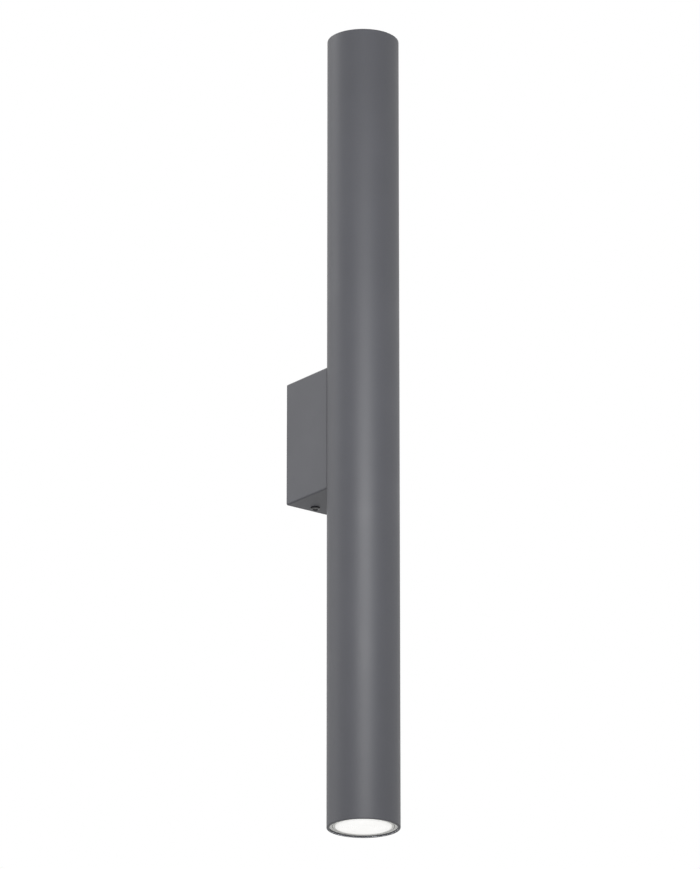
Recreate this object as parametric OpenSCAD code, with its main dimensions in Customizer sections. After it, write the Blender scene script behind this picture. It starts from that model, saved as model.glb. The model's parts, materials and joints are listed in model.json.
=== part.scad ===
// Tube wall light: a long round tube that shines up and down from a rectangular wall box.
// Millimetres, wall at y = 0, front towards -Y, +Z up, origin at the centre of the bracket's back.

/* [Tube] */
// Outer diameter of the tube
tube_d = 60; // [58:1:76]
// Wall thickness of the tube
tube_wall = 2; // [1.5:0.1:2.4]
// Length of the tube
tube_len = 686; // [400:2:1200]
// Radius of the rounded rims at the tube's ends
tube_rim = 0.6; // [0.2:0.1:0.7]

/* [Wall box] */
// Width of the box, seen from the front
box_w = 46; // [44:1:52]
// Height of the box
box_h = 106; // [102:1:140]
// Wall thickness of the box
box_wall = 2; // [1.5:0.1:2.5]
// Radius of the box's long outer edges
box_edge = 1.5; // [0.5:0.1:2]
// Shadow gap between the box's rear edge and the wall
shadow_gap = 0.8; // [0.2:0.1:1.2]
// Distance from the wall to the axis of the tube
stand_off = 75; // [70:1:100]

/* [Wall bracket] */
// Thickness of the bracket's steel sheet
plate_t = 1.5; // [1:0.1:2]
// Inner radius of the bracket's bends
bend_r = 1.5; // [1:0.1:2.5]
// Width of the ears that take the cover screws
ear_w = 24; // [16:1:32]
// Reach of the ears, measured from the wall
ear_depth = 16; // [14:0.5:20]
// Distance between the two wall-screw holes
wall_pitch = 70; // [66:1:76]
// Diameter of the wall-screw holes
wall_hole_d = 5; // [4:0.1:6]
// Height of the pressed bosses that take small screws
boss_h = 2.5; // [2:0.1:3]
// Diameter of the pressed bosses
boss_d = 7; // [6:0.5:8]

/* [Cover screws] */
// Diameter of the screws that hold the box to the bracket
cover_screw_d = 4; // [3:0.5:5]
// Length of their shanks
cover_screw_len = 8; // [6:0.5:10]
// Diameter of their button heads
cover_head_d = 8; // [7:0.5:9]
// Height of their button heads
cover_head_h = 2.2; // [1.8:0.1:3]
// Distance from the wall to their axes
cover_screw_depth = 10; // [8:0.5:11]

/* [Cable entry] */
// Bore of the grommet for the supply cable
entry_d = 8; // [6:0.5:9]
// Height of the cable entry above the bracket's centre
entry_z = 12; // [11:0.5:13]
// Wall thickness of the grommet round its bore
grommet_wall = 2.5; // [2:0.1:3]
// Width of the grommet's flange past its hole
grommet_lip = 2.5; // [2:0.1:3]
// Thickness of the grommet's flange
grommet_flange_t = 2; // [1:0.1:3]

/* [Terminal block] */
// Distance between the poles
pole_pitch = 13; // [13:0.1:13.6]
// Length of each pole
pole_len = 17; // [15:0.5:18]
// Height of the block below the bracket's centre
block_drop = 12; // [11.5:0.5:13]
// Thickness of the block's plastic walls
pole_wall = 0.9; // [0.7:0.1:1]
// Thickness of the webs between the poles
web_t = 2.5; // [2:0.1:3]
// Wall of the brass inserts beside the bore
insert_wall = 1.1; // [0.9:0.05:1.2]
// Height of the screw towers
tower_h = 4; // [3:0.5:5]

/* [Tube fixing] */
// Diameter of the screws that hold the tube to the box
tube_screw_d = 4; // [3:0.5:5]
// Length of their shanks
tube_screw_len = 12; // [11:0.5:14]
// Distance between the two screws
tube_screw_pitch = 60; // [54:1:70]
// Width across the flats of their nuts
nut_flats = 7; // [6.5:0.5:8]
// Thickness of their nuts
nut_t = 3.2; // [2.4:0.1:4]
// Bore of the bush that the lamp leads pass through
bush_d = 6.4; // [6:0.2:7]
// Wall thickness of the bush
bush_wall = 1.6; // [1.2:0.1:2]
// Width of the bush's flanges past its hole
bush_lip = 2; // [1.5:0.1:2.5]
// Thickness of the bush's flanges
bush_flange_t = 1.6; // [1:0.1:2]

/* [Carrier strap] */
// Width of the strap inside the tube
strap_w = 20; // [20:0.5:24]
// Thickness of the strap
strap_t = 1.5; // [1.2:0.1:2]
// Inner radius of the strap's bends
strap_bend = 2; // [1.5:0.1:3]

/* [Lamp holders] */
// Diameter of the ceramic holder
holder_d = 27; // [26.5:0.1:29]
// Width of the holder across its flats
holder_flats = 22; // [21:0.5:24]
// Height of the holder
holder_h = 14; // [12:0.5:16]
// Thickness of the holder's face over the pin channels
holder_face_t = 3.2; // [2.8:0.1:3.6]
// Distance between the holder's two screws
holder_pitch = 19; // [19:0.1:19.6]
// Diameter of the holder's screws
holder_screw_d = 3; // [2.5:0.5:3]
// Turn that frees a lamp, in degrees
unlock_turn = 28; // [20:1:32]

/* [Lamps] */
// Diameter of the lamp's rim
lamp_d = 50; // [48:0.5:50]
// Length of the lamp from its face to its base, without the pins
lamp_len = 48; // [46:0.5:54]
// Depth of the lamp's face inside the end of the tube
lamp_recess = 1.5; // [1:0.1:4]
// Diameter of the frosted lens
lens_d = 46; // [42:0.5:46]
// Thickness of the lens at its edge
lens_t = 2; // [1.5:0.1:3]
// Number of cooling fins
fin_count = 20; // [12:1:24]
// Thickness of each fin
fin_t = 1.2; // [0.8:0.1:1.6]
// Distance between the lamp's pins
pin_pitch = 10; // [9.6:0.1:10]
// Diameter of a pin's head
pin_head_d = 5; // [4.6:0.1:5]
// Diameter of a pin's neck
pin_neck_d = 3; // [2.6:0.1:3.2]
// Length of the pins
pin_len = 7; // [6.6:0.1:7.2]
// Length of a pin's head
pin_head_len = 2.8; // [2.4:0.1:3]

/* [End rings] */
// Depth of the ring that centres a lamp in the tube
ring_h = 8; // [6:0.5:12]
// Thickness of the ring's wall
ring_wall = 1.2; // [0.8:0.1:1.3]

/* [Leads] */
// Outer diameter of the sleeved leads
lead_d = 1.9; // [1.6:0.1:1.9]
// Thickness of the ring terminals and of the washers
lug_t = 0.8; // [0.6:0.1:1]

/* [Hidden] */
$fn = 96;

// Running past a surface, so that cuts go right through
over = 1;
// Clearance of a screw in its own thread or of a pressed-in piece
thread_gap = 0.05;
// Clearance round a screw or plug that passes freely
slip_gap = 0.25;
// Paint and fitting clearance between the tube and what lies on it
seat_gap = 0.1;
// Clearance between the lamps and the pieces that they turn in
turn_gap = 0.3;
// Clearance round the bracket inside the box
plate_gap = 0.3;
// Distance that screw tips keep from the wall
tip_gap = 0.5;

// Wall box and bracket
tube_r = tube_d / 2;
tube_ri = tube_r - tube_wall;
front_in = stand_off - tube_r - seat_gap - box_wall;
bracket_w = box_w - 2 * (box_wall + plate_gap);
bracket_h = box_h - 2 * (box_wall + plate_gap);
bracket_corner = 3;
earth_inset = 8.7;
block_z = -block_drop;
earth_x = bracket_w / 2 - earth_inset;
earth_z = 26;
post_top = plate_t + boss_h;

// Small screws: earth screw and block screws
earth_screw_d = 4;
earth_head_d = 7.5;
earth_head_h = 2.6;
block_screw_d = 2.5;
block_head_d = 4.4;
block_head_h = 1.6;
socket_share = 0.32;
crown_share = 0.7;
slot_w = 0.8;
slot_depth = 0.9;

// Terminal block
insert_bore = 2 * (lead_d + seat_gap);
insert_w = insert_bore + 2 * insert_wall;
insert_len = pole_len - 2 * pole_wall;
pole_w = insert_w + 2 * (pole_wall + thread_gap);
pole_floor = 1.5;
pole_h = pole_floor + insert_w + 2 * thread_gap + pole_wall;
bore_depth = post_top + pole_floor + thread_gap + insert_w / 2;
clamp_screw_d = 3;
clamp_pitch_share = 0.52;
tower_wall = 1.2;
tower_d = clamp_screw_d + 2 * tower_wall;
pole_edge = 1;

// Tube fixing
tube_screw_z = tube_screw_pitch / 2;
tube_head_d = 7.6;
tube_head_h = 2.6;
washer_d = 9;
head_seat = front_in - lug_t;
bush_hole_d = bush_d + 2 * bush_wall;
strap_back = stand_off - sqrt(pow(tube_ri, 2) - pow(strap_w / 2, 2)) + seat_gap;
strap_front = strap_back + strap_t;

// Lamps and holders, as depths below the end of the tube
holder_face = lamp_recess + lamp_len + turn_gap;
holder_back = holder_face + holder_h;
strap_h = tube_len - 2 * holder_back;
tab_margin = 1;
tab_reach = stand_off - strap_back + holder_d / 2 + tab_margin;
neck_way_r = pin_neck_d / 2 + slip_gap;
head_way_r = pin_head_d / 2 + turn_gap;
neck_len = pin_len - pin_head_len;
cavity_gap = 0.5;
holder_head_d = 5.5;
holder_head_h = 2;
holder_sink = 2.4;
holder_screw_len = 12.6;
lead_spread = 4;
lead_seat = 5;
lamp_rim_h = 6;
lamp_chamfer = 1;
lamp_step_r = 22;
lamp_neck_r = 10;
lamp_base_d = 17.6;
lamp_base_flats = 15;
lamp_base_h = 8;
lens_rise = 0.5;
fin_top = 8;
fin_low = 33;
fin_out_r = 24;
fin_end_r = 14;
fin_sink = 1.5;
ring_gap = 0.4;
ring_flange_t = 1.2;

// Ring terminals
lug_ring_d = 7.6;
lug_neck_w = 3;
lug_barrel_x = 5;
lug_barrel_len = 5;
lug_wall = 0.5;

// Leads
lead_sides = 8;
lead_steps = 5;
lead_bend_share = 0.45;
lead_cut = 8;
bush_slot = 1.35;
lead_run = strap_front + lead_d;
lead_side = 7;
lead_pair = lead_d / 2 + thread_gap;
lead_room = 4.2;
loop_low = -27;
loop_step = 3;

coat = [0.29, 0.29, 0.31];
zinc = [0.72, 0.73, 0.75];
brass = [0.80, 0.65, 0.30];
white_plastic = [0.90, 0.90, 0.88];
ceramic = [0.93, 0.91, 0.86];
lead_red = [0.55, 0.12, 0.10];
lead_earth = [0.25, 0.50, 0.20];

// Extrudes a drawing of X and Z between two distances in front of the wall
module in_depth(near, far) {
    translate([0, -near, 0])
        rotate([90, 0, 0])
            linear_extrude(far - near)
                children();
}

// Extrudes a drawing of depth and Z to both sides of the centre plane
module across(width) {
    rotate([90, 0, -90])
        linear_extrude(width, center = true)
            children();
}

// Places children at the upper (1) or lower (-1) end of the tube, z pointing out of the end
module at_end(side) {
    translate([0, -stand_off, side * tube_len / 2])
        rotate([side > 0 ? 0 : 180, 0, 0])
            children();
}

module at_cover_screw(side) {
    translate([0, -cover_screw_depth, side * box_h / 2])
        rotate([side > 0 ? 0 : 180, 0, 0])
            children();
}

module round_rect(w, h, r) {
    square([w - 2 * r, h], center = true);
    square([w, h - 2 * r], center = true);
    for (x = [-1, 1], y = [-1, 1])
        translate([x * (w / 2 - r), y * (h / 2 - r)])
            circle(r);
}

// Section of a pan that is open on one side and has its two closed corners rounded
module pan_section(depth, height, r) {
    translate([r, -height / 2])
        square([depth - r, height]);
    translate([0, r - height / 2])
        square([depth, height - 2 * r]);
    for (s = [-1, 1])
        translate([r, s * (height / 2 - r)])
            circle(r);
}

// Bent strip: a pan section with a smaller one taken out
module strip_section(depth, height, t, r) {
    difference() {
        pan_section(depth, height, r + t);
        translate([t, 0])
            pan_section(depth, height - 2 * t, r);
    }
}

module tube_space(r) {
    translate([0, -stand_off, 0])
        cylinder(h = box_h + 2 * over, r = r, center = true);
}

// Holes for the tube screws and the bush, through the box's front, the tube's back and the strap
module fixing_holes() {
    in_depth(front_in - over, strap_front + over) {
        circle(d = bush_hole_d + 2 * seat_gap);
        for (s = [-1, 1])
            translate([0, s * tube_screw_z])
                circle(d = tube_screw_d + 2 * slip_gap);
    }
}

module tube() {
    color(coat)
        difference() {
            translate([0, -stand_off, 0])
                rotate_extrude()
                    tube_wall_section();
            fixing_holes();
        }
}

module tube_wall_section() {
    rim_r = tube_r - tube_rim;
    translate([tube_ri, -tube_len / 2])
        square([rim_r - tube_ri, tube_len]);
    translate([tube_ri, tube_rim - tube_len / 2])
        square([tube_wall, tube_len - 2 * tube_rim]);
    for (s = [-1, 1])
        translate([rim_r, s * (tube_len / 2 - tube_rim)])
            circle(tube_rim);
}

module wall_box() {
    color(coat)
        difference() {
            in_depth(shadow_gap, stand_off)
                round_rect(box_w, box_h, box_edge);
            tube_space(tube_r + seat_gap);
            difference() {
                in_depth(shadow_gap - over, stand_off)
                    square([box_w - 2 * box_wall, box_h - 2 * box_wall], center = true);
                tube_space(tube_r + seat_gap + box_wall);
            }
            fixing_holes();
            translate([0, -cover_screw_depth, 0])
                cylinder(h = box_h + 2 * over, d = cover_screw_d + 2 * slip_gap, center = true);
        }
}

module wall_bracket() {
    color(zinc)
        difference() {
            union() {
                across(ear_w)
                    strip_section(ear_depth, bracket_h, plate_t, bend_r);
                in_depth(0, plate_t)
                    round_rect(bracket_w, bracket_h - 4 * (bend_r + plate_t), bracket_corner);
                in_depth(0, post_top)
                    boss_places()
                        circle(d = boss_d);
            }
            translate([0, -cover_screw_depth, 0])
                cylinder(h = box_h, d = cover_screw_d + 2 * thread_gap, center = true);
            in_depth(-over, post_top + over) {
                for (s = [-1, 1])
                    translate([0, s * wall_pitch / 2])
                        circle(d = wall_hole_d);
                translate([0, entry_z])
                    circle(d = entry_d + 2 * grommet_wall + 2 * thread_gap);
                block_screw_places()
                    circle(d = block_screw_d + 2 * thread_gap);
                translate([earth_x, earth_z])
                    circle(d = earth_screw_d + 2 * thread_gap);
            }
        }
}

module block_screw_places() {
    for (s = [-1, 1])
        translate([s * pole_pitch / 2, block_z])
            children();
}

module boss_places() {
    block_screw_places()
        children();
    translate([earth_x, earth_z])
        children();
}

// Button-headed screw, its head standing on z = 0 and its shank pointing down
module button_screw(d, len, head_d, head_h) {
    crown = head_h * crown_share;
    dome_r = (pow(head_d / 2, 2) + pow(crown, 2)) / (2 * crown);
    difference() {
        union() {
            rotate_extrude()
                intersection() {
                    square([head_d / 2, head_h]);
                    translate([0, head_h - dome_r])
                        circle(dome_r);
                }
            translate([0, 0, -len])
                cylinder(h = len, d = d);
        }
        translate([0, 0, head_h / 2])
            cylinder(h = head_h, r = head_d * socket_share, $fn = 6);
    }
}

// Slotted pan-headed screw in the same place
module slotted_screw(d, len, head_d, head_h) {
    difference() {
        union() {
            cylinder(h = head_h, d = head_d);
            translate([0, 0, -len])
                cylinder(h = len, d = d);
        }
        translate([-head_d, -slot_w / 2, head_h - slot_depth])
            cube([2 * head_d, slot_w, head_h]);
    }
}

// Turns a piece that stands on z = 0 to stand on a depth and point back into the room
module standing_at(depth) {
    translate([0, -depth, 0])
        rotate([90, 0, 0])
            children();
}

module cover_screw(side) {
    color("#1c1c1e")
        at_cover_screw(side)
            button_screw(cover_screw_d, cover_screw_len, cover_head_d, cover_head_h);
}

module cable_grommet() {
    hole_d = entry_d + 2 * grommet_wall;
    color("#202022")
        translate([0, 0, entry_z])
            difference() {
                union() {
                    in_depth(0, plate_t)
                        circle(d = hole_d);
                    in_depth(plate_t, plate_t + grommet_flange_t)
                        circle(d = hole_d + 2 * grommet_lip);
                }
                in_depth(-over, plate_t + grommet_flange_t + over)
                    circle(d = entry_d);
            }
}

module pole_places() {
    for (n = [-1, 0, 1])
        translate([n * pole_pitch, block_z])
            children();
}

module clamp_places() {
    pole_places()
        for (s = [-1, 1])
            translate([0, s * pole_len * clamp_pitch_share / 2])
                children();
}

module terminal_body() {
    insert_front = bore_depth + insert_w / 2 + thread_gap;
    color(white_plastic)
        difference() {
            union() {
                in_depth(post_top, post_top + web_t)
                    translate([0, block_z])
                        square([2 * pole_pitch, pole_len - 2 * pole_wall], center = true);
                in_depth(post_top, post_top + pole_h)
                    pole_places()
                        round_rect(pole_w, pole_len, pole_edge);
                in_depth(post_top, post_top + pole_h + tower_h)
                    clamp_places()
                        circle(d = tower_d);
            }
            in_depth(bore_depth - insert_w / 2 - thread_gap, insert_front)
                pole_places()
                    square([insert_w + 2 * thread_gap, pole_len + 2 * over], center = true);
            in_depth(bore_depth, post_top + pole_h + tower_h + over)
                clamp_places()
                    circle(d = clamp_screw_d + 2 * slip_gap);
            in_depth(post_top - over, post_top + web_t + over)
                block_screw_places()
                    circle(d = block_screw_d + 2 * slip_gap);
        }
}

module terminal_inserts() {
    color(brass)
        difference() {
            in_depth(bore_depth - insert_w / 2, bore_depth + insert_w / 2)
                pole_places()
                    square([insert_w, insert_len], center = true);
            for (n = [-1, 0, 1])
                translate([n * pole_pitch, -bore_depth, block_z])
                    cylinder(h = pole_len, d = insert_bore, center = true);
            in_depth(bore_depth, bore_depth + insert_w)
                clamp_places()
                    circle(d = clamp_screw_d + 2 * thread_gap);
        }
}

module terminal_clamp_screws() {
    tip = bore_depth + insert_bore / 2 + thread_gap;
    top = post_top + pole_h + tower_h - slot_depth;
    color(zinc)
        difference() {
            in_depth(tip, top)
                clamp_places()
                    circle(d = clamp_screw_d);
            in_depth(top - slot_depth, top + over)
                clamp_places()
                    square([2 * clamp_screw_d, slot_w], center = true);
        }
}

module terminal_block_screws() {
    seat = post_top + web_t;
    color(zinc)
        for (s = [-1, 1])
            translate([s * pole_pitch / 2, 0, block_z])
                standing_at(seat)
                    slotted_screw(block_screw_d, seat - tip_gap, block_head_d, block_head_h);
}

module earth_screw() {
    seat = post_top + 2 * lug_t;
    color(brass)
        translate([earth_x, 0, earth_z])
            standing_at(seat)
                slotted_screw(earth_screw_d, seat - tip_gap, earth_head_d, earth_head_h);
}

module washer(hole_d, outer_d) {
    linear_extrude(lug_t)
        difference() {
            circle(d = outer_d);
            circle(d = hole_d + 2 * slip_gap);
        }
}

module earth_washer() {
    color(zinc)
        translate([earth_x, 0, earth_z])
            standing_at(post_top)
                washer(earth_screw_d, lug_ring_d);
}

// Ring terminal lying on z = 0, its crimped barrel towards +X
module lug(hole_d) {
    barrel_r = lead_d / 2 + thread_gap + lug_wall;
    difference() {
        union() {
            linear_extrude(lug_t) {
                circle(d = lug_ring_d);
                translate([0, -lug_neck_w / 2])
                    square([lug_barrel_x + lug_wall, lug_neck_w]);
            }
            translate([lug_barrel_x, 0, barrel_r])
                rotate([0, 90, 0])
                    cylinder(h = lug_barrel_len, r = barrel_r);
        }
        translate([0, 0, -over])
            cylinder(h = lug_t + 2 * over, d = hole_d + 2 * slip_gap);
        translate([lug_barrel_x + lug_wall, 0, barrel_r])
            rotate([0, 90, 0])
                cylinder(h = lug_barrel_len, d = lead_d + 2 * thread_gap);
    }
}

module earth_lug() {
    color(zinc)
        translate([earth_x, 0, earth_z])
            standing_at(post_top + lug_t)
                rotate([0, 0, -90])
                    lug(earth_screw_d);
}

module tube_screws() {
    color(zinc)
        for (s = [-1, 1])
            translate([0, 0, s * tube_screw_z])
                standing_back(head_seat)
                    slotted_screw(tube_screw_d, tube_screw_len, tube_head_d, tube_head_h);
}

// Stands a piece on a depth, pointing towards the wall
module standing_back(depth) {
    translate([0, -depth, 0])
        rotate([-90, 0, 0])
            children();
}

module tube_washer() {
    color(zinc)
        translate([0, 0, tube_screw_z])
            standing_back(front_in)
                washer(tube_screw_d, washer_d);
}

module tube_lug() {
    color(zinc)
        translate([0, 0, -tube_screw_z])
            standing_back(front_in)
                lug(tube_screw_d);
}

module tube_nuts() {
    color(zinc)
        in_depth(strap_front, strap_front + nut_t)
            for (s = [-1, 1])
                translate([0, s * tube_screw_z])
                    difference() {
                        circle(d = nut_flats / cos(30), $fn = 6);
                        circle(d = tube_screw_d + 2 * thread_gap);
                    }
}

module wire_bush() {
    flange_d = bush_hole_d + 2 * bush_lip;
    color("#2a2a2c")
        difference() {
            union() {
                in_depth(front_in - bush_flange_t, front_in)
                    circle(d = flange_d);
                in_depth(front_in, strap_front)
                    circle(d = bush_hole_d);
                in_depth(strap_front, strap_front + bush_flange_t)
                    circle(d = flange_d);
            }
            in_depth(front_in - 2 * bush_flange_t, strap_front + 2 * bush_flange_t)
                circle(d = bush_d);
        }
}

module carrier_strap() {
    color(zinc)
        difference() {
            translate([0, -strap_back, 0])
                across(strap_w)
                    strip_section(tab_reach, strap_h, strap_t, strap_bend);
            fixing_holes();
            translate([0, -stand_off, 0]) {
                for (s = [-1, 1])
                    translate([0, s * holder_pitch / 2, 0])
                        cylinder(h = tube_len, d = holder_screw_d + 2 * thread_gap, center = true);
                linear_extrude(tube_len, center = true)
                    round_rect(2 * lead_spread + 2 * lead_d, 3 * lead_d, lead_d);
            }
        }
}

// Drawing of a curved way for a pin: a ring sector with round ends
module pin_way(half_w) {
    r = pin_pitch / 2;
    reach = 2 * pin_pitch;
    intersection() {
        difference() {
            circle(r + half_w);
            circle(r - half_w);
        }
        polygon([[0, 0], [reach, 0], reach * [cos(unlock_turn), sin(unlock_turn)]]);
    }
    for (a = [0, unlock_turn])
        rotate(a)
            translate([r, 0])
                circle(half_w);
}

module holder(side) {
    cavity_top = holder_face + holder_face_t;
    cavity_low = lamp_recess + lamp_len + pin_len + cavity_gap;
    color(ceramic)
        at_end(side)
            difference() {
                translate([0, 0, -holder_back])
                    linear_extrude(holder_h)
                        intersection() {
                            circle(d = holder_d);
                            square([holder_flats, holder_d], center = true);
                        }
                for (a = [0, 180])
                    rotate([0, 0, a]) {
                        translate([0, 0, -cavity_top - over])
                            linear_extrude(holder_face_t + 2 * over)
                                pin_way(neck_way_r);
                        translate([0, 0, -cavity_low])
                            linear_extrude(cavity_low - cavity_top)
                                pin_way(head_way_r + seat_gap);
                        rotate([0, 0, unlock_turn])
                            translate([pin_pitch / 2, 0, -cavity_top - cavity_gap])
                                cylinder(h = cavity_top, r = head_way_r);
                        translate([0, holder_pitch / 2, -holder_back - over])
                            cylinder(h = holder_h + 2 * over, d = holder_screw_d + 2 * slip_gap);
                        translate([0, holder_pitch / 2, -holder_face - holder_sink])
                            cylinder(h = holder_sink + over, d = holder_head_d + 2 * turn_gap);
                        translate([lead_spread, 0, -holder_back - over])
                            cylinder(h = lead_seat + over, d = lead_d + 2 * seat_gap);
                    }
            }
}

module holder_screws(side) {
    color(zinc)
        at_end(side)
            for (s = [-1, 1])
                translate([0, s * holder_pitch / 2, -holder_face - holder_sink])
                    slotted_screw(holder_screw_d, holder_screw_len, holder_head_d, holder_head_h);
}

module end_ring(side) {
    ring_r = tube_ri - thread_gap;
    hole_r = max(lamp_d, lens_d) / 2 + ring_gap;
    wall_r = max(ring_r - ring_wall, hole_r);
    color(white_plastic)
        at_end(side)
            rotate_extrude() {
                translate([hole_r, -lamp_recess - ring_flange_t])
                    square([ring_r - hole_r, ring_flange_t]);
                translate([wall_r, -lamp_recess - ring_h])
                    square([ring_r - wall_r, ring_h]);
            }
}

module lamp_shell(side) {
    foot = lamp_recess + lamp_len - lamp_base_h;
    color(white_plastic)
        at_end(side)
            difference() {
                union() {
                    rotate_extrude()
                        polygon([
                            [0, -lamp_recess], [lamp_d / 2, -lamp_recess],
                            [lamp_d / 2, -lamp_recess - lamp_rim_h],
                            [lamp_step_r, -lamp_recess - lamp_rim_h - lamp_chamfer],
                            [lamp_neck_r, -foot], [0, -foot]
                        ]);
                    for (n = [0 : fin_count - 1])
                        rotate([90, 0, n * 360 / fin_count])
                            linear_extrude(fin_t, center = true)
                                lamp_fin();
                }
                translate([0, 0, -lamp_recess - lens_t])
                    cylinder(h = lens_t + over, d = lens_d + 2 * thread_gap);
            }
}

// Outline of one fin: radius and height, its inner edge sunk in the shell's cone
module lamp_fin() {
    foot = lamp_recess + lamp_len - lamp_base_h;
    polygon([
        [lamp_neck_r - fin_sink, -foot + fin_sink], [lamp_step_r - fin_sink, -lamp_recess - fin_top],
        [lamp_step_r - fin_sink, lamp_chamfer - lamp_recess - lamp_rim_h],
        [fin_out_r, lamp_chamfer - lamp_recess - lamp_rim_h], [fin_out_r, -lamp_recess - fin_top],
        [fin_end_r, -lamp_recess - fin_low]
    ]);
}

// Frosted lens: its edge lies in the shell's recess, its face stands a little proud and is rounded
module lamp_lens(side) {
    flat_r = lens_d / 2 - lens_rise;
    color("white")
        at_end(side)
            translate([0, 0, -lamp_recess])
                rotate_extrude() {
                    translate([0, -lens_t])
                        square([lens_d / 2, lens_t]);
                    square([flat_r, lens_rise]);
                    intersection() {
                        translate([flat_r, 0])
                            circle(lens_rise);
                        square(lens_d);
                    }
                }
}

module lamp_base(side) {
    color(ceramic)
        at_end(side)
            translate([0, 0, -lamp_recess - lamp_len])
                linear_extrude(lamp_base_h)
                    intersection() {
                        circle(d = lamp_base_d);
                        square([lamp_base_d, lamp_base_flats], center = true);
                    }
}

module lamp_pins(side) {
    color(zinc)
        at_end(side)
            for (s = [-1, 1])
                translate([s * pin_pitch / 2, 0, -lamp_recess - lamp_len]) {
                    translate([0, 0, -neck_len])
                        cylinder(h = neck_len, d = pin_neck_d);
                    translate([0, 0, -pin_len])
                        cylinder(h = pin_head_len, d = pin_head_d);
                }
}

function unit(v) = v / norm(v);
function square_to(v, t) = unit(v - (v * t) * t);

// Points of a route whose corners are rounded by short curves
function rounded(p) = [
    p[0],
    for (i = [1 : len(p) - 2])
        let (
            back = p[i - 1] - p[i],
            ahead = p[i + 1] - p[i],
            c = min(lead_cut, lead_bend_share * norm(back), lead_bend_share * norm(ahead)),
            a = p[i] + c * unit(back),
            b = p[i] + c * unit(ahead)
        )
        for (k = [0 : lead_steps])
            let (t = k / lead_steps)
                pow(1 - t, 2) * a + 2 * t * (1 - t) * p[i] + t * t * b,
    p[len(p) - 1]
];

// Round lead swept along a route
module lead(route) {
    p = rounded(route);
    last = len(p) - 1;
    ways = [for (i = [0 : last]) unit(p[min(i + 1, last)] - p[max(i - 1, 0)])];
    sides = [
        for (i = 0, n = square_to([1, 0, 0], ways[0]);
             i <= last;
             i = i + 1, n = i <= last ? square_to(n, ways[i]) : n) n
    ];
    points = [
        for (i = [0 : last], k = [0 : lead_sides - 1])
            let (a = 360 * k / lead_sides)
                p[i] + lead_d / 2 * (cos(a) * sides[i] + sin(a) * cross(ways[i], sides[i]))
    ];
    walls = [
        for (i = [0 : last - 1], k = [0 : lead_sides - 1])
            let (
                m = (k + 1) % lead_sides,
                a = i * lead_sides,
                b = a + lead_sides
            )
            each [[a + k, b + k, b + m], [a + k, b + m, a + m]]
    ];
    caps = [
        [for (k = [0 : lead_sides - 1]) k],
        [for (k = [lead_sides - 1 : -1 : 0]) last * lead_sides + k]
    ];
    polyhedron(points, concat(walls, caps));
}

// Route from a pole's lower mouth, round a loop in the box and through the bush
function box_route(pole_x, row, bush_x) =
    let (
        low = loop_low - (row > 0 ? 0 : loop_step),
        mouth = block_z - insert_len / 2,
        slot_z = row * bush_slot,
        turn_depth = front_in - bush_flange_t - 3 * lead_d - slot_z
    )
    [
        [pole_x, -bore_depth, mouth + lead_seat],
        [pole_x, -bore_depth, mouth - 2 * lead_d],
        [pole_x, -bore_depth - 3 * lead_d, low],
        [(pole_x + bush_x) / 2, -(bore_depth + turn_depth) / 2, low + loop_step],
        [bush_x, -turn_depth, slot_z],
        [bush_x, bush_flange_t - front_in, slot_z],
        [bush_x, -strap_front - bush_flange_t, slot_z],
        [bush_x, -strap_front - bush_flange_t - 2 * lead_d, slot_z]
    ];

// Route from the bush along the strap and into the back of a holder
function tube_route(side_x, row) =
    let (back = tube_len / 2 - holder_back, turn = back - strap_t - 6 * lead_d)
    [
        [side_x * lead_side, -lead_run, row * tube_screw_z / 2],
        [side_x * lead_side, -lead_run, row * (turn - 4 * lead_d)],
        [side_x * lead_spread, -stand_off, row * turn],
        [side_x * lead_spread, -stand_off, row * (back + lead_seat - seat_gap)]
    ];

module leads(row) {
    live_x = -pole_pitch - row * lead_pair;
    neutral_x = row * lead_pair;
    color(lead_red) {
        lead(concat(box_route(live_x, row, -bush_slot), tube_route(-1, row)));
        lead(concat(box_route(neutral_x, row, bush_slot), tube_route(1, row)));
    }
}

module earth_lead() {
    mouth = block_z + insert_len / 2;
    lug_depth = post_top + lug_t + lead_d / 2 + thread_gap + lug_wall;
    barrel_end = earth_z - lug_barrel_x - lug_barrel_len;
    color(lead_earth)
        lead([
            [pole_pitch, -bore_depth, mouth - lead_seat],
            [pole_pitch, -bore_depth, mouth + lead_d],
            [earth_x, -lug_depth, barrel_end - 3 * lead_d],
            [earth_x, -lug_depth, barrel_end + lug_barrel_len - 2 * lug_wall]
        ]);
}

module tube_earth_lead() {
    mouth = block_z - insert_len / 2;
    lug_depth = front_in - lead_d / 2 - thread_gap - lug_wall;
    barrel_end = lug_barrel_x + lug_barrel_len;
    side_x = box_w / 2 - box_wall - lead_room;
    color(lead_earth)
        lead([
            [pole_pitch, -bore_depth, mouth + lead_seat],
            [pole_pitch, -bore_depth, mouth - 2 * lead_d],
            [side_x, -bore_depth - 5 * lead_d, -tube_screw_z],
            [side_x, -lug_depth, -tube_screw_z],
            [barrel_end, -lug_depth, -tube_screw_z],
            [barrel_end - lug_barrel_len + 2 * lug_wall, -lug_depth, -tube_screw_z]
        ]);
}

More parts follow.
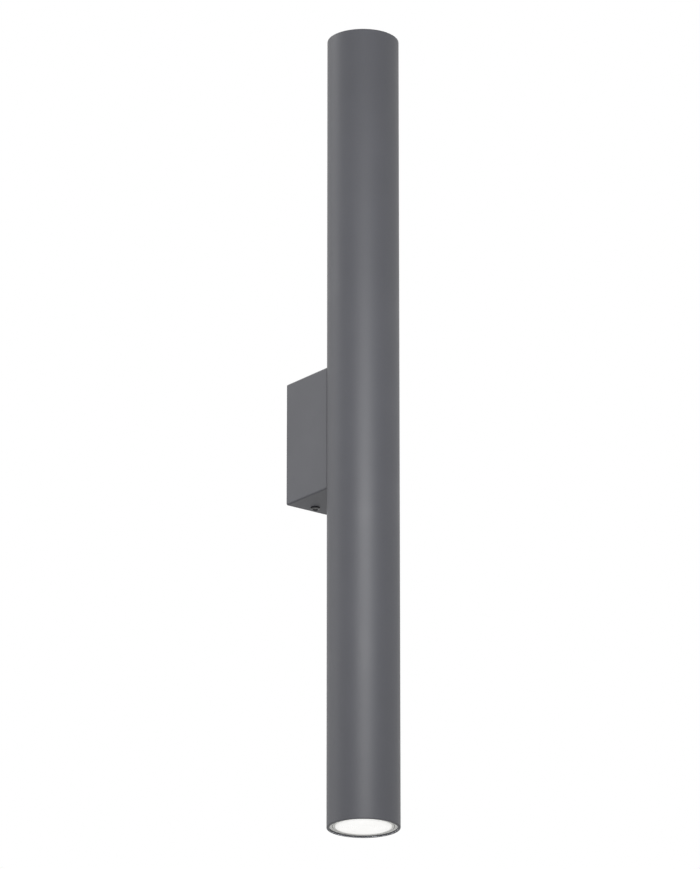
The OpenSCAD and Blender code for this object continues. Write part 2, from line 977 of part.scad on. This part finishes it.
tube();
wall_box();
wall_bracket();
cover_screw(1);  // cover_screw_upper
cover_screw(-1);  // cover_screw_lower
cable_grommet();
terminal_body();
terminal_inserts();
terminal_clamp_screws();
terminal_block_screws();
earth_screw();
earth_washer();
earth_lug();
earth_lead();
tube_screws();
tube_washer();
tube_lug();
tube_earth_lead();
tube_nuts();
wire_bush();
carrier_strap();
holder(1);  // holder_upper
holder(-1);  // holder_lower
holder_screws(1);  // holder_screws_upper
holder_screws(-1);  // holder_screws_lower
end_ring(1);  // end_ring_upper
end_ring(-1);  // end_ring_lower
leads(1);  // leads_upper
leads(-1);  // leads_lower
lamp_shell(1);  // lamp_shell_upper
lamp_lens(1);  // lamp_lens_upper
lamp_base(1);  // lamp_base_upper
lamp_pins(1);  // lamp_pins_upper
lamp_shell(-1);  // lamp_shell_lower
lamp_lens(-1);  // lamp_lens_lower
lamp_base(-1);  // lamp_base_lower
lamp_pins(-1);  // lamp_pins_lower
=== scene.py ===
"""Tube wall light: the finishes of its pieces, a plain studio and the camera."""
import json
import math

import bpy
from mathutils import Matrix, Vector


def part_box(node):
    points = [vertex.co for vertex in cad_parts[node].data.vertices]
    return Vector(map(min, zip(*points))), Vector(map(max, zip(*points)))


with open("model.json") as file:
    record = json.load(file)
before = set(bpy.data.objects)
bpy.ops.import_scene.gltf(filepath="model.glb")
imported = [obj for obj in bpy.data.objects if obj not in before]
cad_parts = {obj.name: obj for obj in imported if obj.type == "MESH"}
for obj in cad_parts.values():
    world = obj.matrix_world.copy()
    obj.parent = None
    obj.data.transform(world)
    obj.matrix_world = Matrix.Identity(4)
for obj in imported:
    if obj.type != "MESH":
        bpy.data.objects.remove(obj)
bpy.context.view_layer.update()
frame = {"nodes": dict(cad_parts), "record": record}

# Millimetres and degrees, in metres and radians
MM = 0.001
DEG = math.pi / 180

# Camera below and to the left of the light, with a long lens
CAMERA_PLACE = (-3.048, -4.015, -1.736)
CAMERA_TURN = 37.60 * DEG
CAMERA_RISE = 19.146 * DEG
LENS_MM = 265.0
SENSOR_MM = 36.0
CLIP_FAR = 60.0

# Studio: how strongly the world lights the pieces, next to the white 1 that it shows
WORLD_LEVEL = 0.40
WHITE = (1.0, 1.0, 1.0, 1.0)
FLOOR_DROP = 2.5
FLOOR_HALF = 14.0
# The floor fades out between these distances from its middle, so that no edge of it shows
FLOOR_FADE_FROM = 7.0
FLOOR_FADE_TO = 13.5
FLOOR_TONE = (0.92, 0.92, 0.91, 1.0)
FLOOR_TONE_WORN = (0.88, 0.88, 0.87, 1.0)
FLOOR_CLOUDS = 1.3
FLOOR_ROUGHNESS = 0.85
# Added where the floor is seen, so that it looks pale without lighting the pieces
FLOOR_GLOW = 0.28

# Soft panels: name, turn and rise in degrees, distance, width and height in metres, brightness
PANELS = (
    ("near_front", -30.0, 6.0, 0.9, 0.60, 0.26, 10.9),
    ("behind_left", -135.0, 15.0, 3.0, 1.4, 2.4, 0.95),
    ("high_behind_left", -140.0, 45.0, 2.5, 1.4, 1.4, 1.75),
    ("right", 60.0, 19.0, 3.0, 0.4, 2.4, 0.35),
    ("below", -40.0, -55.0, 2.5, 1.2, 1.2, 2.6),
)

# Lit lenses: how bright they look, and how brightly they light the tube's ends, next to white at 1
LENS_GLOW = 0.62
LENS_LIGHT = 35.0
# Distance of that light from the lens
LENS_LIGHT_GAP = 0.2 * MM
# Part of its radius at which a lens starts to look dimmer
LENS_DIM_FROM = 0.8

# Sizes that show in the finishes: from one ring of prisms to the next, one strand of a braid,
# one stripe of an earth lead
PRISM_PITCH = 1.6 * MM
BRAID_STRAND = 0.5 * MM
EARTH_STRIPE = 2.2 * MM

# Radii that edges look rounded to
COAT_EDGE = 0.5 * MM
SHEET_EDGE = 0.25 * MM
MOULDED_EDGE = 0.25 * MM
TURNED_EDGE = 0.2 * MM

# Depths of the fine relief
COAT_PEEL = 0.03 * MM
ROLLED_LINES = 0.006 * MM
TURNED_LINES = 0.005 * MM
BRAID_DEPTH = 0.08 * MM
SLEEVE_GRAIN = 0.01 * MM
PRISM_DEPTH = 0.15 * MM

# Finishes, as linear colours
COAT = (0.0735, 0.0752, 0.0865, 1.0)
COAT_DEEP = (0.0625, 0.064, 0.074, 1.0)
# Pale flecks of the coat, and also the painted highlight along its edges
COAT_FLECK_AND_EDGE_SHEEN = (0.118, 0.120, 0.136, 1.0)
ZINC_DARK = (0.40, 0.41, 0.43, 1.0)
ZINC_PALE = (0.50, 0.51, 0.53, 1.0)
ZINC_LINE = (0.58, 0.59, 0.61, 1.0)
# Painted highlight along the sheet's edges
ZINC_EDGE_HIGHLIGHT = (0.70, 0.71, 0.72, 1.0)
BRASS_DARK = (0.50, 0.34, 0.12, 1.0)
BRASS_PALE = (0.78, 0.58, 0.26, 1.0)
NICKEL_DARK = (0.52, 0.50, 0.46, 1.0)
NICKEL_PALE = (0.74, 0.72, 0.68, 1.0)
BLACKING = (0.010, 0.010, 0.011, 1.0)
BLACKING_PALE = (0.024, 0.024, 0.026, 1.0)
# Painted reflection that lightens a screw's face, not a colour of the steel
FACE_REFLECTION_GREY = (0.25, 0.25, 0.256, 1.0)
RUBBER = (0.03, 0.03, 0.031, 1.0)
RUBBER_PALE = (0.05, 0.05, 0.052, 1.0)
PLASTIC = (0.80, 0.80, 0.78, 1.0)
PLASTIC_SHADE = (0.72, 0.72, 0.70, 1.0)
CERAMIC = (0.82, 0.80, 0.74, 1.0)
CERAMIC_SHADE = (0.70, 0.67, 0.60, 1.0)
BRAID = (0.36, 0.045, 0.038, 1.0)
BRAID_PALE = (0.46, 0.065, 0.055, 1.0)
BRAID_GAP = (0.16, 0.02, 0.018, 1.0)
EARTH_GREEN = (0.03, 0.26, 0.06, 1.0)
EARTH_YELLOW = (0.72, 0.58, 0.04, 1.0)
CHALK = (0.6, 0.62, 0.5, 1.0)
OPAL = (0.76, 0.76, 0.74, 1.0)
OPAL_PALE = (0.82, 0.82, 0.81, 1.0)
GLOW_VALLEY = (1.0, 0.99, 0.99, 1.0)
GLOW_RIDGE = (0.5, 0.495, 0.485, 1.0)
GLOW_EDGE = (0.6, 0.595, 0.585, 1.0)

# Axis and radius of the lenses, from the frame
lens_low, lens_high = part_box("lamp_lens_lower")
LENS_AXIS = ((lens_low[0] + lens_high[0]) / 2, (lens_low[1] + lens_high[1]) / 2, 0.0)
LENS_R = (lens_high[0] - lens_low[0]) / 2


def place(tree, kind, options=None, inputs=None):
    """Adds a node, sets its options and fills or wires its inputs."""
    made = tree.nodes.new("ShaderNode" + kind)
    for name, value in (options or {}).items():
        setattr(made, name, value)
    for name, value in (inputs or {}).items():
        if isinstance(value, bpy.types.NodeSocket):
            tree.links.new(value, made.inputs[name])
        else:
            made.inputs[name].default_value = value
    return made


def noise(tree, where, scale, detail=2.0, roughness=0.5):
    return place(tree, "TexNoise", {}, {
        "Vector": where, "Scale": scale, "Detail": detail, "Roughness": roughness,
    }).outputs["Fac"]


def ramp(tree, value, low, high, to_low=0.0, to_high=1.0):
    """Maps low..high to to_low..to_high and holds the ends."""
    return place(tree, "MapRange", {}, {
        "Value": value, "From Min": low, "From Max": high, "To Min": to_low, "To Max": to_high,
    }).outputs["Result"]


def spread(tree, mask, at_none, at_full):
    """Number that goes from at_none to at_full with the mask."""
    return ramp(tree, mask, 0.0, 1.0, at_none, at_full)


def figure(tree, operation, a, b=0.0, c=0.0):
    return place(tree, "Math", {"operation": operation}, {0: a, 1: b, 2: c}).outputs[0]


def share(tree, mask, strength):
    """The mask at a part of its strength."""
    return figure(tree, "MULTIPLY", mask, strength)


def between(tree, mask, low, high):
    """Colour that goes from low to high with the mask."""
    return place(tree, "Mix", {"data_type": "RGBA"}, {0: mask, 6: low, 7: high}).outputs[2]


def effect(name, inputs, outputs):
    """Starts a shared effect and returns its tree, its inputs and a way to put out results."""
    tree = bpy.data.node_groups.new(name, "ShaderNodeTree")
    for socket, start in inputs:
        kind = "NodeSocketVector" if isinstance(start, tuple) else "NodeSocketFloat"
        made = tree.interface.new_socket(socket, in_out="INPUT", socket_type=kind)
        made.default_value = start
    for socket, kind in outputs:
        tree.interface.new_socket(socket, in_out="OUTPUT", socket_type="NodeSocket" + kind)
    source = tree.nodes.new("NodeGroupInput")
    result = tree.nodes.new("NodeGroupOutput")

    def put_out(**made):
        for socket, value in made.items():
            tree.links.new(value, result.inputs[socket])

    return tree, source.outputs, put_out


def use(tree, group, **inputs):
    """Places a shared effect in a material with its own values."""
    return place(tree, "Group", {"node_tree": group}, inputs).outputs


def coordinates(tree):
    return place(tree, "TexCoord").outputs["Object"]


def true_normal(tree):
    return place(tree, "NewGeometry").outputs["Normal"]


def make_grain():
    """Fine grain of a coat, a moulding or a glaze: height, scattered flecks and soft clouds."""
    tree, given, put_out = effect(
        "surface_grain",
        [("Grain", 900.0), ("Flecks", 2600.0), ("Clouds", 14.0)],
        [("Height", "Float"), ("Fleck", "Float"), ("Cloud", "Float")],
    )
    where = coordinates(tree)
    fleck = noise(tree, where, given["Flecks"], detail=1.0)
    cloud = noise(tree, where, given["Clouds"], detail=3.0, roughness=0.6)
    put_out(
        Height=noise(tree, where, given["Grain"], detail=3.0, roughness=0.55),
        Fleck=ramp(tree, fleck, low=0.58, high=0.74),
        Cloud=ramp(tree, cloud, low=0.3, high=0.7),
    )
    return tree


def make_strokes():
    """Lines left by rolling, drawing or turning: a mask stretched along one direction."""
    tree, given, put_out = effect(
        "tool_strokes",
        [("Stretch", (1.0, 1.0, 1.0)), ("Scale", 900.0)],
        [("Stroke", "Float")],
    )
    moved = place(tree, "Mapping", {}, {"Vector": coordinates(tree), "Scale": given["Stretch"]})
    fine = noise(tree, moved.outputs["Vector"], given["Scale"], detail=4.0, roughness=0.65)
    put_out(Stroke=ramp(tree, fine, low=0.25, high=0.75))
    return tree


def make_edges():
    """Edges as the eye sees them: a softened normal and a mask that marks them, which finishes use
    to paint highlights along edges.
    """
    tree, given, put_out = effect(
        "soft_edges",
        [("Radius", 0.4 * MM)],
        [("Normal", "Vector"), ("Edge", "Float")],
    )
    soft = place(tree, "Bevel", {"samples": 6}, {"Radius": given["Radius"]}).outputs["Normal"]
    match = place(tree, "VectorMath", {"operation": "DOT_PRODUCT"}, {0: soft, 1: true_normal(tree)})
    put_out(Normal=soft, Edge=ramp(tree, match.outputs["Value"], low=1.0, high=0.82))
    return tree


def make_handling():
    """Faint wide smudges that handling leaves."""
    tree, given, put_out = effect("handling", [("Smudges", 22.0)], [("Smudge", "Float")])
    wide = noise(tree, coordinates(tree), given["Smudges"], detail=4.0, roughness=0.6)
    put_out(Smudge=ramp(tree, wide, low=0.5, high=0.72))
    return tree


GRAIN = make_grain()
STROKES = make_strokes()
EDGES = make_edges()
HANDLING = make_handling()


def finish(name, **sockets):
    """Starts a material and sets the sockets that are the same all over."""
    made = bpy.data.materials.new(name)
    made.use_nodes = True
    tree = made.node_tree
    shader = tree.nodes["Principled BSDF"]
    for socket, value in sockets.items():
        shader.inputs[socket.replace("_", " ")].default_value = value
    return made, tree, shader


def feed(tree, shader, **sockets):
    """Wires results to the shader's sockets."""
    for socket, value in sockets.items():
        tree.links.new(value, shader.inputs[socket.replace("_", " ")])


def relief(tree, height, depth, normal=None):
    """Bump of a height over a depth, on a normal if one is given."""
    inputs = {"Height": height, "Distance": depth, "Strength": 1.0}
    if normal is not None:
        inputs["Normal"] = normal
    return place(tree, "Bump", {}, inputs).outputs["Normal"]


def anthracite_coat():
    """Fine matt powder coat: a close orange peel, pale flecks, slight cloudiness, and a painted
    highlight that lightens its edges.
    """
    made, tree, shader = finish("anthracite_coat", Metallic=0.0, Specular_IOR_Level=0.5)
    roughness = 0.47
    smudge_shine = -0.05
    cloud_dull = 0.04
    grain = use(tree, GRAIN, Grain=1300.0, Flecks=3400.0, Clouds=9.0)
    marks = use(tree, HANDLING, Smudges=16.0)
    edges = use(tree, EDGES, Radius=COAT_EDGE)
    body = between(tree, grain["Cloud"], COAT_DEEP, COAT)
    flecked = between(tree, share(tree, grain["Fleck"], strength=0.5), body, COAT_FLECK_AND_EDGE_SHEEN)
    # Edges painted a little lighter: a painted highlight where rounded edges catch the light
    wear_and_edge_sheen = between(tree, share(tree, edges["Edge"], strength=0.25), flecked, COAT_FLECK_AND_EDGE_SHEEN)
    rough = figure(tree, "MULTIPLY_ADD", marks["Smudge"], smudge_shine, roughness)
    rough = figure(tree, "MULTIPLY_ADD", grain["Cloud"], cloud_dull, rough)
    feed(
        tree, shader, Base_Color=wear_and_edge_sheen, Roughness=rough,
        Normal=relief(tree, grain["Height"], COAT_PEEL, edges["Normal"]),
    )
    return made


def zinc_sheet():
    """Zinc-plated sheet: rolled lines up the piece, dull crystals and a painted highlight that makes
    its edges slightly bright.
    """
    made, tree, shader = finish("zinc_sheet", Metallic=1.0)
    strokes = use(tree, STROKES, Stretch=(1.0, 1.0, 0.03), Scale=1400.0)
    edges = use(tree, EDGES, Radius=SHEET_EDGE)
    crystal = place(tree, "TexVoronoi", {}, {"Vector": coordinates(tree), "Scale": 160.0})
    tone = place(tree, "SeparateColor", {}, {"Color": crystal.outputs["Color"]}).outputs[0]
    body = between(tree, tone, ZINC_DARK, ZINC_PALE)
    lined = between(tree, share(tree, strokes["Stroke"], strength=0.35), body, ZINC_LINE)
    # Edges painted lighter: a painted highlight
    bright = between(tree, share(tree, edges["Edge"], strength=0.5), lined, ZINC_EDGE_HIGHLIGHT)
    feed(
        tree, shader, Base_Color=bright,
        Roughness=spread(tree, tone, at_none=0.34, at_full=0.46),
        Normal=relief(tree, strokes["Stroke"], ROLLED_LINES, edges["Normal"]),
    )
    return made


def turning_marks(tree):
    """Close tool marks round a small turned part."""
    return use(tree, STROKES, Stretch=(0.15, 0.15, 1.0), Scale=3200.0)["Stroke"]


def turned_metal(name, dark, pale, rough_low, rough_high):
    """Turned small parts: close tool marks round them, edges painted lighter as a painted highlight,
    a little tarnish.
    """
    made, tree, shader = finish(name, Metallic=1.0)
    turning = turning_marks(tree)
    marks = use(tree, HANDLING, Smudges=120.0)
    edges = use(tree, EDGES, Radius=TURNED_EDGE)
    body = between(tree, turning, dark, pale)
    stained = between(tree, share(tree, marks["Smudge"], strength=0.4), body, dark)
    # Edges painted toward the pale colour: a painted highlight
    bright = between(tree, share(tree, edges["Edge"], strength=0.6), stained, pale)
    feed(
        tree, shader, Base_Color=bright,
        Roughness=spread(tree, turning, rough_low, rough_high),
        Normal=relief(tree, turning, TURNED_LINES, edges["Normal"]),
    )
    return made


def blackened_screw():
    """Blackened screw: tool marks round its head, and its face painted lighter grey, a painted
    reflection, less where handling smudges it.
    """
    made, tree, shader = finish("black_screw", Metallic=1.0)
    face_reflection_level = 0.9
    smudged = -0.25
    turning = turning_marks(tree)
    marks = use(tree, HANDLING, Smudges=160.0)
    upright = place(tree, "SeparateXYZ", {}, {"Vector": true_normal(tree)}).outputs["Z"]
    # The screw stands upright, so what looks up or down is its face or its socket's floor; these are
    # painted lighter grey, a painted reflection of the pale floor and world
    face = ramp(tree, figure(tree, "ABSOLUTE", upright), low=0.72, high=0.96, to_high=face_reflection_level)
    # Handling smudges take away some of the face's painted reflection
    face_reflection_less_smudges = figure(tree, "MULTIPLY_ADD", marks["Smudge"], smudged, face)
    body = between(tree, turning, BLACKING, BLACKING_PALE)
    feed(
        tree, shader, Base_Color=between(tree, face_reflection_less_smudges, body, FACE_REFLECTION_GREY),
        Roughness=spread(tree, turning, at_none=0.34, at_full=0.44),
        Normal=relief(tree, turning, TURNED_LINES),
    )
    return made


def moulded(name, body, shade, rough_low, rough_high, grain_scale, depth):
    """Moulded plastic, rubber or glazed ceramic: fine grain, small specks and soft clouds."""
    made, tree, shader = finish(name, Metallic=0.0)
    grain = use(tree, GRAIN, Grain=grain_scale, Flecks=3.0 * grain_scale, Clouds=60.0)
    marks = use(tree, HANDLING, Smudges=70.0)
    edges = use(tree, EDGES, Radius=MOULDED_EDGE)
    cloudy = between(tree, share(tree, grain["Cloud"], strength=0.6), body, shade)
    specked = between(tree, share(tree, grain["Fleck"], strength=0.35), cloudy, shade)
    feed(
        tree, shader, Base_Color=specked,
        Roughness=spread(tree, marks["Smudge"], rough_high, rough_low),
        Normal=relief(tree, grain["Height"], depth, edges["Normal"]),
    )
    return made


def bands(tree, where, period):
    """Soft bands, 0 to 1, that repeat each time x + y + z grows by the period."""
    # At scale 1 the wave repeats each time x + y + z grows by pi / 5
    wave = place(tree, "TexWave", {"bands_direction": "DIAGONAL"}, {
        "Vector": where, "Scale": math.pi / (5 * period),
    })
    return wave.outputs["Fac"]


def sleeve_grain(tree):
    """Grain of a lead's sleeve."""
    return use(tree, GRAIN, Grain=1600.0, Flecks=4200.0, Clouds=60.0)


def braided_sleeve():
    """Silicone lead in a close braid: two families of strands that cross."""
    made, tree, shader = finish("lead_sleeve", Metallic=0.0, Roughness=0.62)
    where = coordinates(tree)
    mirrored = place(tree, "Mapping", {}, {"Vector": where, "Scale": (1.0, 1.0, -1.0)})
    one_way = bands(tree, where, BRAID_STRAND)
    other_way = bands(tree, mirrored.outputs["Vector"], BRAID_STRAND)
    strands = figure(tree, "MAXIMUM", one_way, other_way)
    body = between(tree, sleeve_grain(tree)["Cloud"], BRAID, BRAID_PALE)
    woven = between(tree, ramp(tree, strands, low=0.35, high=0.8), BRAID_GAP, body)
    feed(tree, shader, Base_Color=woven, Normal=relief(tree, strands, BRAID_DEPTH))
    return made


def striped_sleeve():
    """Smooth green sleeve with yellow stripes, a little chalky in places."""
    made, tree, shader = finish("earth_sleeve", Metallic=0.0)
    grain = sleeve_grain(tree)
    marks = use(tree, HANDLING, Smudges=70.0)
    stripe = ramp(tree, bands(tree, coordinates(tree), 2 * EARTH_STRIPE), low=0.47, high=0.53)
    body = between(tree, stripe, EARTH_GREEN, EARTH_YELLOW)
    chalky = between(tree, share(tree, grain["Cloud"], strength=0.12), body, CHALK)
    feed(
        tree, shader, Base_Color=chalky,
        Roughness=spread(tree, marks["Smudge"], at_none=0.6, at_full=0.45),
        Normal=relief(tree, grain["Height"], SLEEVE_GRAIN),
    )
    return made


def frosted_lens():
    """Lit opal lens: close rings of fine prisms round its axis, a little dimmer towards its edge."""
    made, tree, shader = finish(
        "frosted_lens", Metallic=0.0, Roughness=0.45, Emission_Strength=LENS_GLOW
    )
    grain = use(tree, GRAIN, Grain=1500.0, Flecks=3000.0, Clouds=40.0)
    flat = (1.0, 1.0, 0.0)
    across = place(tree, "VectorMath", {"operation": "MULTIPLY"}, {0: coordinates(tree), 1: flat})
    out = place(
        tree, "VectorMath", {"operation": "DISTANCE"}, {0: across.outputs[0], 1: LENS_AXIS}
    ).outputs["Value"]
    prisms = figure(tree, "PINGPONG", out, PRISM_PITCH / 2)
    ridges = ramp(tree, prisms, low=0.0, high=PRISM_PITCH / 2)
    edge = ramp(tree, out, low=LENS_DIM_FROM * LENS_R, high=LENS_R)
    lit = between(tree, ridges, GLOW_VALLEY, GLOW_RIDGE)
    feed(
        tree, shader, Base_Color=between(tree, grain["Cloud"], OPAL, OPAL_PALE),
        Emission_Color=between(tree, edge, lit, GLOW_EDGE),
        Normal=relief(tree, ridges, PRISM_DEPTH),
    )
    return made


FINISHES = {
    "anthracite_coat": anthracite_coat(),
    "zinc_steel": zinc_sheet(),
    "black_screw": blackened_screw(),
    "brass_part": turned_metal(
        "brass_part", BRASS_DARK, BRASS_PALE, rough_low=0.24, rough_high=0.4
    ),
    "black_rubber": moulded(
        "black_rubber", RUBBER, RUBBER_PALE,
        rough_low=0.6, rough_high=0.8, grain_scale=700.0, depth=0.03 * MM,
    ),
    "white_plastic": moulded(
        "white_plastic", PLASTIC, PLASTIC_SHADE,
        rough_low=0.34, rough_high=0.48, grain_scale=1500.0, depth=0.01 * MM,
    ),
    "holder_ceramic": moulded(
        "holder_ceramic", CERAMIC, CERAMIC_SHADE,
        rough_low=0.4, rough_high=0.62, grain_scale=1100.0, depth=0.02 * MM,
    ),
    "lead_sleeve": braided_sleeve(),
    "earth_sleeve": striped_sleeve(),
    "frosted_lens": frosted_lens(),
    "nickel_pin": turned_metal(
        "nickel_pin", NICKEL_DARK, NICKEL_PALE, rough_low=0.22, rough_high=0.36
    ),
}


def dress_nodes():
    """Gives each node the finish that the record names for it."""
    for piece in frame["record"]["subparts"]:
        slots = frame["nodes"][piece["node"]].data.materials
        slots.clear()
        slots.append(FINISHES[piece["material_slot"]])


def seen_directly(tree):
    """1 where the camera, a gloss or a clear piece sees the background, 0 where it only lights."""
    path = place(tree, "LightPath").outputs
    seen = figure(tree, "MAXIMUM", path["Is Camera Ray"], path["Is Glossy Ray"])
    return figure(tree, "MAXIMUM", seen, path["Is Transmission Ray"])


def make_floor():
    """Pale floor far below the light, seen only from above, that fades out far away."""
    made, tree, shader = finish("studio_floor", Roughness=FLOOR_ROUGHNESS)
    wear_and_edge_sheen = noise(tree, coordinates(tree), FLOOR_CLOUDS, detail=4.0)
    feed(tree, shader, Base_Color=between(tree, wear_and_edge_sheen, FLOOR_TONE_WORN, FLOOR_TONE))
    glow = place(tree, "Emission", {}, {
        "Color": FLOOR_TONE, "Strength": spread(tree, seen_directly(tree), 0.0, FLOOR_GLOW),
    })
    pale = place(tree, "AddShader", {}, {0: shader.outputs[0], 1: glow.outputs[0]})
    under = place(tree, "NewGeometry").outputs["Backfacing"]
    away = place(tree, "VectorMath", {"operation": "LENGTH"}, {0: coordinates(tree)})
    faded = ramp(tree, away.outputs["Value"], FLOOR_FADE_FROM, FLOOR_FADE_TO)
    gone = figure(tree, "MAXIMUM", under, faded)
    clear = place(tree, "BsdfTransparent").outputs[0]
    mixed = place(tree, "MixShader", {}, {0: gone, 1: pale.outputs[0], 2: clear})
    output = tree.nodes["Material Output"]
    tree.links.new(mixed.outputs[0], output.inputs["Surface"])

    h = FLOOR_HALF
    mesh = bpy.data.meshes.new("studio_floor")
    mesh.from_pydata([(-h, -h, 0), (h, -h, 0), (h, h, 0), (-h, h, 0)], [], [(0, 1, 2, 3)])
    mesh.materials.append(made)
    floor = bpy.data.objects.new("studio_floor", mesh)
    floor.location.z = -FLOOR_DROP
    bpy.context.scene.collection.objects.link(floor)


def make_world():
    """White behind the light and in what it mirrors, a plain level on what it lights."""
    world = bpy.data.worlds.new("studio")
    world.use_nodes = True
    tree = world.node_tree
    tree.nodes.clear()
    strength = spread(tree, seen_directly(tree), WORLD_LEVEL, 1.0)
    sky = place(tree, "Background", {}, {"Color": WHITE, "Strength": strength})
    output = tree.nodes.new("ShaderNodeOutputWorld")
    tree.links.new(sky.outputs[0], output.inputs["Surface"])
    bpy.context.scene.world = world


def toward(turn, rise):
    """Direction from the light, turned from the front (-Y) towards +X and raised."""
    return (
        math.sin(turn) * math.cos(rise),
        -math.cos(turn) * math.cos(rise),
        math.sin(rise),
    )


def make_panel(name, turn, rise, distance, width, height, brightness):
    """Soft panel that faces the light; brightness is what a camera would see in it."""
    data = bpy.data.lights.new(name, "AREA")
    data.shape = "RECTANGLE"
    data.size = width
    data.size_y = height
    data.energy = brightness * math.pi * width * height
    panel = bpy.data.objects.new(name, data)
    panel.location = [distance * part for part in toward(turn * DEG, rise * DEG)]
    panel.rotation_euler = (math.pi / 2 - rise * DEG, 0.0, turn * DEG)
    panel.visible_camera = False
    bpy.context.scene.collection.objects.link(panel)


def make_lens_light(name, lens, down):
    """Light that a lit lens throws on the tube's end, from just in front of the lens."""
    low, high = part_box(lens)
    data = bpy.data.lights.new(name, "AREA")
    data.shape = "DISK"
    data.size = 2 * LENS_R
    data.energy = LENS_LIGHT * math.pi * math.pi * LENS_R ** 2
    light = bpy.data.objects.new(name, data)
    height = low[2] - LENS_LIGHT_GAP if down else high[2] + LENS_LIGHT_GAP
    light.location = (LENS_AXIS[0], LENS_AXIS[1], height)
    light.rotation_euler = (0.0 if down else math.pi, 0.0, 0.0)
    light.visible_camera = False
    bpy.context.scene.collection.objects.link(light)


def make_camera():
    data = bpy.data.cameras.new("camera")
    data.lens = LENS_MM
    data.sensor_width = SENSOR_MM
    data.clip_end = CLIP_FAR
    camera = bpy.data.objects.new("camera", data)
    camera.location = CAMERA_PLACE
    camera.rotation_euler = (math.pi / 2 + CAMERA_RISE, 0.0, -CAMERA_TURN)
    bpy.context.scene.collection.objects.link(camera)
    bpy.context.scene.camera = camera


dress_nodes()
make_floor()
make_world()
for panel in PANELS:
    make_panel(*panel)
make_lens_light("lower_lens_light", "lamp_lens_lower", True)
make_lens_light("upper_lens_light", "lamp_lens_upper", False)
make_camera()

bpy.context.scene.view_settings.view_transform = "Standard"
